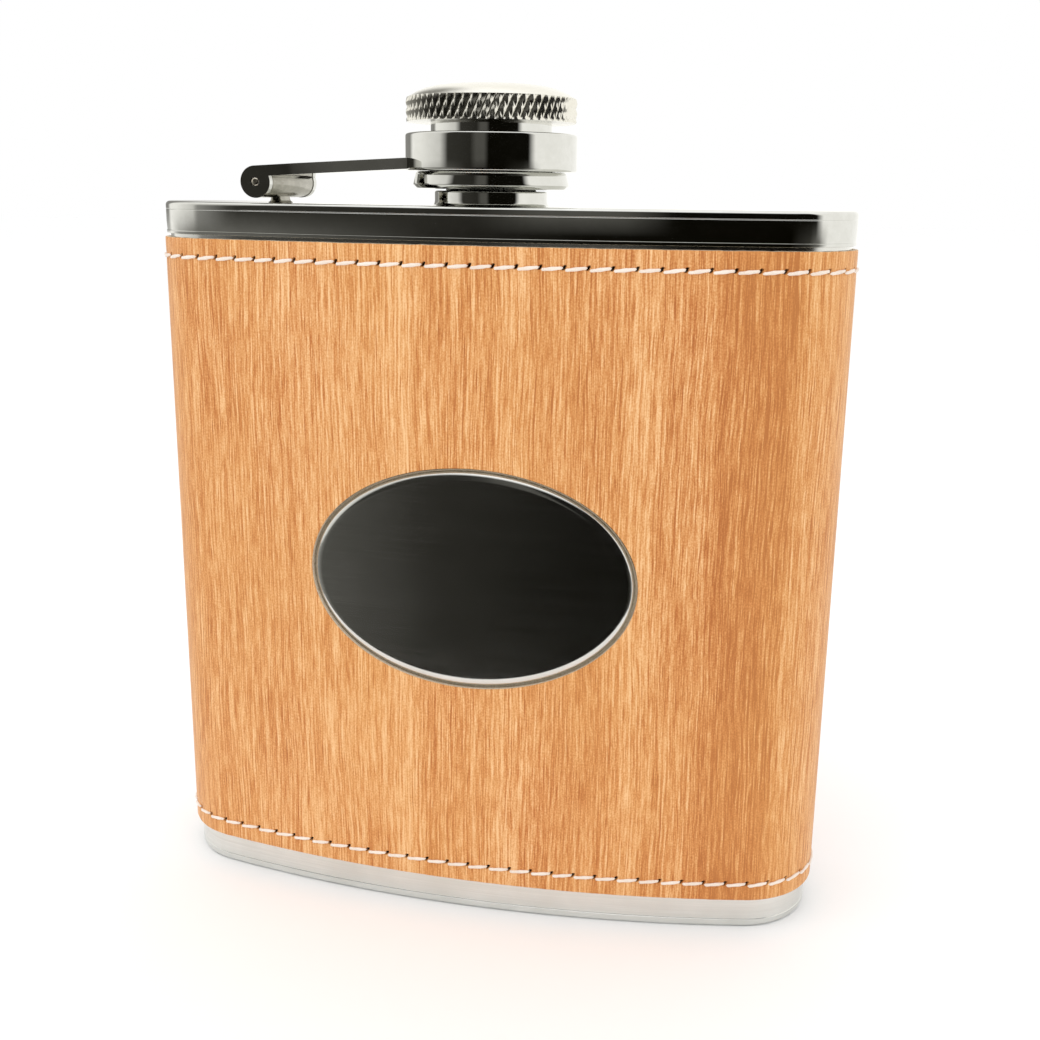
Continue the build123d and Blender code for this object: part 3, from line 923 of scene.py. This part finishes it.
inner_half = arm_half_width - EAR_THICKNESS
strap_plan = [(FORK_X, -arm_half_width), (TAPER_X, -arm_half_width)]
for y in np.linspace(-ARM_HALF, ARM_HALF, 9):
    strap_plan.append((-math.sqrt(strap_end**2 - y * y), y))
strap_plan += [(TAPER_X, arm_half_width), (FORK_X, arm_half_width)]
strap_plan += [(FORK_X, inner_half), (FORK_X, -inner_half)]
corner_count = len(strap_plan)
strap_rings = [[(x, y + neck_y, strap_level(x, side)) for x, y in strap_plan] for side in (0, 1)]
strap_points, walls = stacked(strap_rings)
open_walls = (corner_count - 3, corner_count - 1)
strap_faces = [list(range(corner_count)), list(range(corner_count, 2 * corner_count))]
strap_faces += [wall for k, wall in enumerate(walls) if k not in open_walls]
arm_points, arm_faces = joined(
    (strap_points, strap_faces),
    ear(-arm_half_width, -inner_half),
    ear(inner_half, arm_half_width),
)
arm = make_mesh("captive_arm", arm_points, arm_faces, polished_steel)
work = bmesh.new()
work.from_mesh(arm.data)
bmesh.ops.remove_doubles(work, verts=work.verts, dist=2e-6)
bmesh.ops.recalc_face_normals(work, faces=work.faces)
bmesh.ops.dissolve_limit(work, angle_limit=math.radians(0.5), verts=work.verts, edges=work.edges)
work.to_mesh(arm.data)
work.free()
ease = arm.modifiers.new("eased edges", "BEVEL")
ease.width = ARM_EASE * 0.001
ease.segments = 3
ease.limit_method = "ANGLE"
ease.angle_limit = math.radians(38)
ease.harden_normals = True
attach(arm, "arm")
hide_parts("hinge_arm")

COLLAR_BORE = 8.3
collar_middle = (collar_low.z + collar_high.z) / 2
collar_profile = eased(
    [(COLLAR_BORE, collar_middle, 0), (COLLAR_BORE, collar_low.z, 0.3)]
    + [(collar_radius, collar_low.z, 0.35), (collar_radius, collar_high.z, 0.4)]
    + [(COLLAR_BORE, collar_high.z, 0.3), (COLLAR_BORE, collar_middle + 0.5, 0)],
    6,
)
collar_points, collar_faces = turned(collar_profile, 192)
collar = make_mesh("cap_collar_ring", collar_points + [0, neck_y, 0], collar_faces, polished_steel)
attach(collar, "arm")
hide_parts("cap_collar")


# ---- Cap ----
# The cap has a sleeve that screws on the neck, with a flared lip below the collar, and a
# head pressed on it: a diamond-knurled grip below a low polished dome.
CAP_BORE = 7.25
SHANK_RADIUS = 7.9
SLEEVE_CEILING = 108.0
TEETH = 63
TOOTH_HEIGHT = 2.4
GROOVE_RISING = 0.36
GROOVE_FALLING = 0.22
DOME_POWER = 4.6

sleeve_low, sleeve_high = in_mm(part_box("cap_sleeve"))
head_low, head_high = in_mm(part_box("cap_head"))
lip_radius = (sleeve_high.x - sleeve_low.x) / 2
ceiling_corner = [(0.0, SLEEVE_CEILING, 0), (CAP_BORE, SLEEVE_CEILING, 0.2)]
sleeve_profile = eased(ceiling_corner + [(CAP_BORE, SLEEVE_CEILING - 1.2, 0)])
bore_low, bore_high = sleeve_low.z + 0.8, SLEEVE_CEILING - 1.25
sleeve_profile += [(CAP_BORE, level) for level in np.linspace(bore_high, bore_low, 60)]
lip_low = sleeve_low.z
sleeve_profile += eased(
    [(CAP_BORE, bore_low, 0), (CAP_BORE, lip_low, 0.25), (SHANK_RADIUS + 0.6, lip_low, 0.12)]
    + [(lip_radius - 0.42, lip_low + 0.08, 0.08), (lip_radius, lip_low + 0.5, 0.06)]
    + [(lip_radius, lip_low + 0.64, 0.05), (lip_radius - 0.32, lip_low + 1.94, 0.1)]
    + [(lip_radius - 0.5, lip_low + 2.19, 0.08), (SHANK_RADIUS, lip_low + 2.19, 0.2)]
    + [(SHANK_RADIUS, sleeve_high.z, 0), (0.0, sleeve_high.z, 0)]
)[1:]
sleeve_points, sleeve_faces = turned(sleeve_profile, 160, closed=False)
sleeve_points = threaded(sleeve_points, bore_low, bore_high, CAP_BORE, -0.2, start=0.5)
sleeve = make_mesh("cap_sleeve_turned", sleeve_points + [0, neck_y, 0], sleeve_faces, polished_steel)
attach(sleeve, "cap")
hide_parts("cap_sleeve")

knurled_steel = stainless(
    "knurled steel", (236, 234, 225), (229, 226, 216), (0.14, 0.22), (500, 500, 1500), 3.0e-7
)
head_radius = (head_high.x - head_low.x) / 2
KNURL_ROWS = 10
KNURL_HEIGHT = TOOTH_HEIGHT / 8 * KNURL_ROWS
KNURL_LAND = 0.06
knurl_top = head_low.z + KNURL_HEIGHT
dome_edge = head_radius - 0.3
shoulder = knurl_top + 0.03
under = eased(
    [(0.0, sleeve_high.z, 0), (SHANK_RADIUS, sleeve_high.z, 0)]
    + [(SHANK_RADIUS, head_low.z, 0.1), (head_radius - 0.3, head_low.z, 0)]
)
grip = []
for row in range(KNURL_ROWS + 1):
    from_end = min(row, KNURL_ROWS - row)
    grip.append((head_radius - (0.1 if from_end == 0 else 0.0), head_low.z + row * TOOTH_HEIGHT / 8))
over = []
for share in (1.0, 0.985, 0.96, 0.93, 0.89, 0.84, 0.78, 0.7, 0.6, 0.5, 0.4, 0.3, 0.2, 0.1, 0.0):
    height = (head_high.z - shoulder) * (1 - share**DOME_POWER)
    over.append((dome_edge * share, shoulder + height))
over[-1] = (0.0, head_high.z)
columns = TEETH * 8
head_points, head_faces = turned(under + grip + over, columns, closed=False)
first_grip = 1 + (len(under) - 1) * columns
turn_of, climb_of, cut_of = np.zeros((3, len(head_points)), np.float32)
for row in range(KNURL_ROWS + 1):
    rows = slice(first_grip + row * columns, first_grip + (row + 1) * columns)
    turn_of[rows] = np.arange(columns) / 8
    climb_of[rows] = row / 8
    cut_of[rows] = 0.26 if row in (0, KNURL_ROWS) else 1.0
split_faces = []
for face in head_faces:
    low, high = min(face), max(face)
    if low < first_grip or high >= first_grip + (KNURL_ROWS + 1) * columns:
        split_faces.append(face)
        continue
    a, b, c, d = face
    column, row = (a - first_grip) % columns, (a - first_grip) // columns
    rising = abs(((column - row) / 8 + 0.5) % 1 - 0.5) * 2
    falling = abs(((column + row + 1) / 8 + 0.5) % 1 - 0.5) * 2
    if GROOVE_RISING * (1 - rising) > GROOVE_FALLING * (1 - falling):
        split_faces += [[a, b, c], [a, c, d]]
    else:
        split_faces += [[a, b, d], [b, c, d]]
head_base = make_mesh("head base", head_points + [0, neck_y, 0], split_faces, knurled_steel)
for attribute_name, values in (("turn", turn_of), ("climb", climb_of), ("cut", cut_of)):
    attribute = head_base.data.attributes.new(attribute_name, "FLOAT", "POINT")
    attribute.data.foreach_set("value", values)

knurler, given = new_rule(
    "diamond knurl",
    [
        ("Blank", "Geometry", None),
        ("Depth of rising grooves", "Float", GROOVE_RISING * 0.001),
        ("Depth of falling grooves", "Float", GROOVE_FALLING * 0.001),
        ("Land", "Float", KNURL_LAND),
        ("Axis", "Vector", (0.0, neck_y * 0.001, 0.0)),
        ("Steel", "Material", None),
    ],
    "Head",
)
tree = knurler


def groove_depth(place, depth):
    """Depth of one family of grooves: deepest on the lines, nothing on the lands."""
    away = reckon("MULTIPLY", reckon("PINGPONG", place, 0.5), 2.0)
    share = reckon("DIVIDE", away, reckon("SUBTRACT", 1.0, given["Land"]))
    left = reckon("MAXIMUM", reckon("SUBTRACT", 1.0, share), 0.0)
    return reckon("MULTIPLY", left, depth)


turn, climb, share_cut = (
    made("GeometryNodeInputNamedAttribute", {"Name": name}, "Attribute", data_type="FLOAT")
    for name in ("turn", "climb", "cut")
)
rising_cut = groove_depth(reckon("SUBTRACT", turn, climb), given["Depth of rising grooves"])
falling_cut = groove_depth(reckon("ADD", turn, climb), given["Depth of falling grooves"])
deepest = reckon("MULTIPLY", reckon("MAXIMUM", rising_cut, falling_cut), share_cut)
outwards = made("GeometryNodeInputPosition")
for operation, other in (("SUBTRACT", given["Axis"]), ("MULTIPLY", (1.0, 1.0, 0.0))):
    outwards = made("ShaderNodeVectorMath", {0: outwards, 1: other}, operation=operation)
outwards = made("ShaderNodeVectorMath", {0: outwards}, operation="NORMALIZE")
inwards = {0: outwards, "Scale": reckon("MULTIPLY", deepest, -1.0)}
inwards = made("ShaderNodeVectorMath", inwards, operation="SCALE")
knurled = made("GeometryNodeSetPosition", {"Geometry": given["Blank"], "Offset": inwards})
coloured = made("GeometryNodeSetMaterial", {"Geometry": knurled, "Material": given["Steel"]})
add(tree, "NodeGroupOutput", {"Head": coloured})
head = run_rule("cap_grip_and_dome", head_base, knurler, {"Steel": knurled_steel})
head.data.set_sharp_from_angle(angle=math.radians(22))
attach(head, "cap")
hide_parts("cap_head")

gasket_rubber, tree, shader = new_material(
    "silicone gasket",
    {"Roughness": 0.55, "Subsurface Weight": 0.1, "Subsurface Radius": (0.001, 0.001, 0.001)},
)
cloud = clouds(tree, made("ShaderNodeTexCoord", output="Object"), 900.0, 4.0)
colour = ramped(tree, cloud, [(0.35, chart(226, 225, 218)), (0.65, chart(240, 239, 233))])
finish_material(tree, shader, colour, cloud, 0.4, 0.00003)
gasket_low, gasket_high = in_mm(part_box("cap_gasket"))
gasket_radius = (gasket_high.x - gasket_low.x) / 2 - 0.02
gasket_profile = eased(
    [(0.0, gasket_low.z, 0), (4.6, gasket_low.z, 0), (4.9, gasket_low.z + 0.12, 0.1)]
    + [(6.2, gasket_low.z + 0.12, 0.1), (6.5, gasket_low.z, 0), (gasket_radius, gasket_low.z, 0.2)]
    + [(gasket_radius, gasket_high.z, 0.1), (0.0, gasket_high.z, 0)]
)
gasket_points, gasket_faces = turned(gasket_profile, 96, closed=False)
gasket = make_mesh("silicone_gasket", gasket_points + [0, neck_y, 0], gasket_faces, gasket_rubber)
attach(gasket, "cap")
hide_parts("cap_gasket")


# ---- Studio ----
# White floor, white surroundings and a large soft lamp. Plain warm-grey cards stand round the
# flask to give the polished steel its contrast: only reflections show them.
NEAR_HALF = (0.105, 0.078)
FAR_RADIUS = 4.0
FLOOR_LEVEL = -0.00002
FLOOR_STEPS = 96
WHITE = (1.0, 1.0, 1.0, 1.0)
CARD_GAIN = 0.3
LAMP_WATTS = 1.3

bearings = np.arange(FLOOR_STEPS) * 2 * math.pi / FLOOR_STEPS
near_edge, far_edge = (
    [(half_x * math.cos(a), half_y * math.sin(a), FLOOR_LEVEL) for a in bearings]
    for half_x, half_y in (NEAR_HALF, (FAR_RADIUS, FAR_RADIUS))
)
floor_paint, tree, shader = new_material(
    "white floor", {"Base Color": WHITE, "Roughness": 0.9, "Specular IOR Level": 0.0}
)
near_mesh = bpy.data.meshes.new("floor near")
near_mesh.from_pydata(near_edge, [], [list(range(FLOOR_STEPS))])
far_mesh = bpy.data.meshes.new("floor far")
edge_rows = [list(range(FLOOR_STEPS, 2 * FLOOR_STEPS)), list(range(FLOOR_STEPS))]
far_mesh.from_pydata(near_edge + far_edge, [], woven(edge_rows))
floors = []
for floor_mesh in (near_mesh, far_mesh):
    floor_mesh.materials.append(floor_paint)
    floors.append(placed(floor_mesh.name, floor_mesh))
floors[1].visible_glossy = False

world = bpy.data.worlds.new("studio")
bpy.context.scene.world = world
world.use_nodes = True
tree = world.node_tree
tree.nodes.clear()
direction = made("ShaderNodeTexCoord", output="Generated")
parts = add(tree, "ShaderNodeSeparateXYZ", {0: direction}).outputs
bearing = reckon("ARCTAN2", parts["X"], reckon("MULTIPLY", parts["Y"], -1.0))
bearing = reckon("MULTIPLY_ADD", bearing, 0.5 / math.pi, 0.5)


def cards(stops):
    """Grey of the surroundings all round the flask. A stop is (bearing in degrees, grey)."""
    greys = [(0.5 + degrees / 360, chart(grey, grey - 1, grey - 5)) for degrees, grey in stops]
    return ramped(tree, bearing, greys)


back_cards = [(-158, 240), (-150, 130), (-124, 130), (-114, 240), (-92, 238)]
front_cards = [(-58, 205), (-46, 50), (-14, 40), (-6, 78), (4, 78), (10, 10), (64, 12), (74, 240)]
upright = cards(back_cards + front_cards)
floor_cards = [(-112, 240), (-92, 150), (-50, 104), (-20, 40), (0, 14), (30, 6), (56, 52)]
lying = cards(floor_cards + [(70, 110), (84, 240)])
height = reckon("ARCSINE", parts["Z"])
lowness = remapped(tree, height, math.radians(-1), math.radians(-7))
above = remapped(tree, height, math.radians(42), math.radians(60))
seen = mixed(tree, above, mixed(tree, lowness, upright, lying), WHITE)
glossy = made("ShaderNodeLightPath", output="Is Glossy Ray")
shown = mixed(tree, glossy, WHITE, seen)
brightness = reckon("MULTIPLY_ADD", glossy, CARD_GAIN, 1.0)
light = made("ShaderNodeBackground", {"Color": shown, "Strength": brightness})
add(tree, "ShaderNodeOutputWorld", {"Surface": light})

lamp_data = bpy.data.lights.new("soft box", "AREA")
lamp_data.shape = "RECTANGLE"
lamp_data.size = 0.7
lamp_data.size_y = 0.5
lamp_data.energy = LAMP_WATTS
lamp = placed("soft box", lamp_data)
lamp.location = (-0.12, -0.25, 0.75)
lamp.rotation_euler = (Vector((0, 0, 0.05)) - lamp.location).to_track_quat("-Z", "Y").to_euler()
lamp.visible_glossy = False


# ---- Camera ----
camera_data = bpy.data.cameras.new("camera")
camera_data.lens = 43.889
camera_data.sensor_width = 36.0
camera_data.clip_start = 0.005
camera_data.clip_end = 50.0
camera = placed("camera", camera_data)
AZIMUTH, DOWN, ROLL = math.radians(12.335), math.radians(14.619), math.radians(0.76)
camera.matrix_world = (
    Matrix.Translation((0.041094, -0.169016, 0.099637)) @ Matrix.Rotation(AZIMUTH, 4, "Z")
    @ Matrix.Rotation(math.pi / 2 - DOWN, 4, "X")
    @ Matrix.Rotation(ROLL, 4, "Z")
)
bpy.context.scene.camera = camera
bpy.context.scene.view_settings.view_transform = "Standard"
bpy.context.scene.view_settings.look = "None"
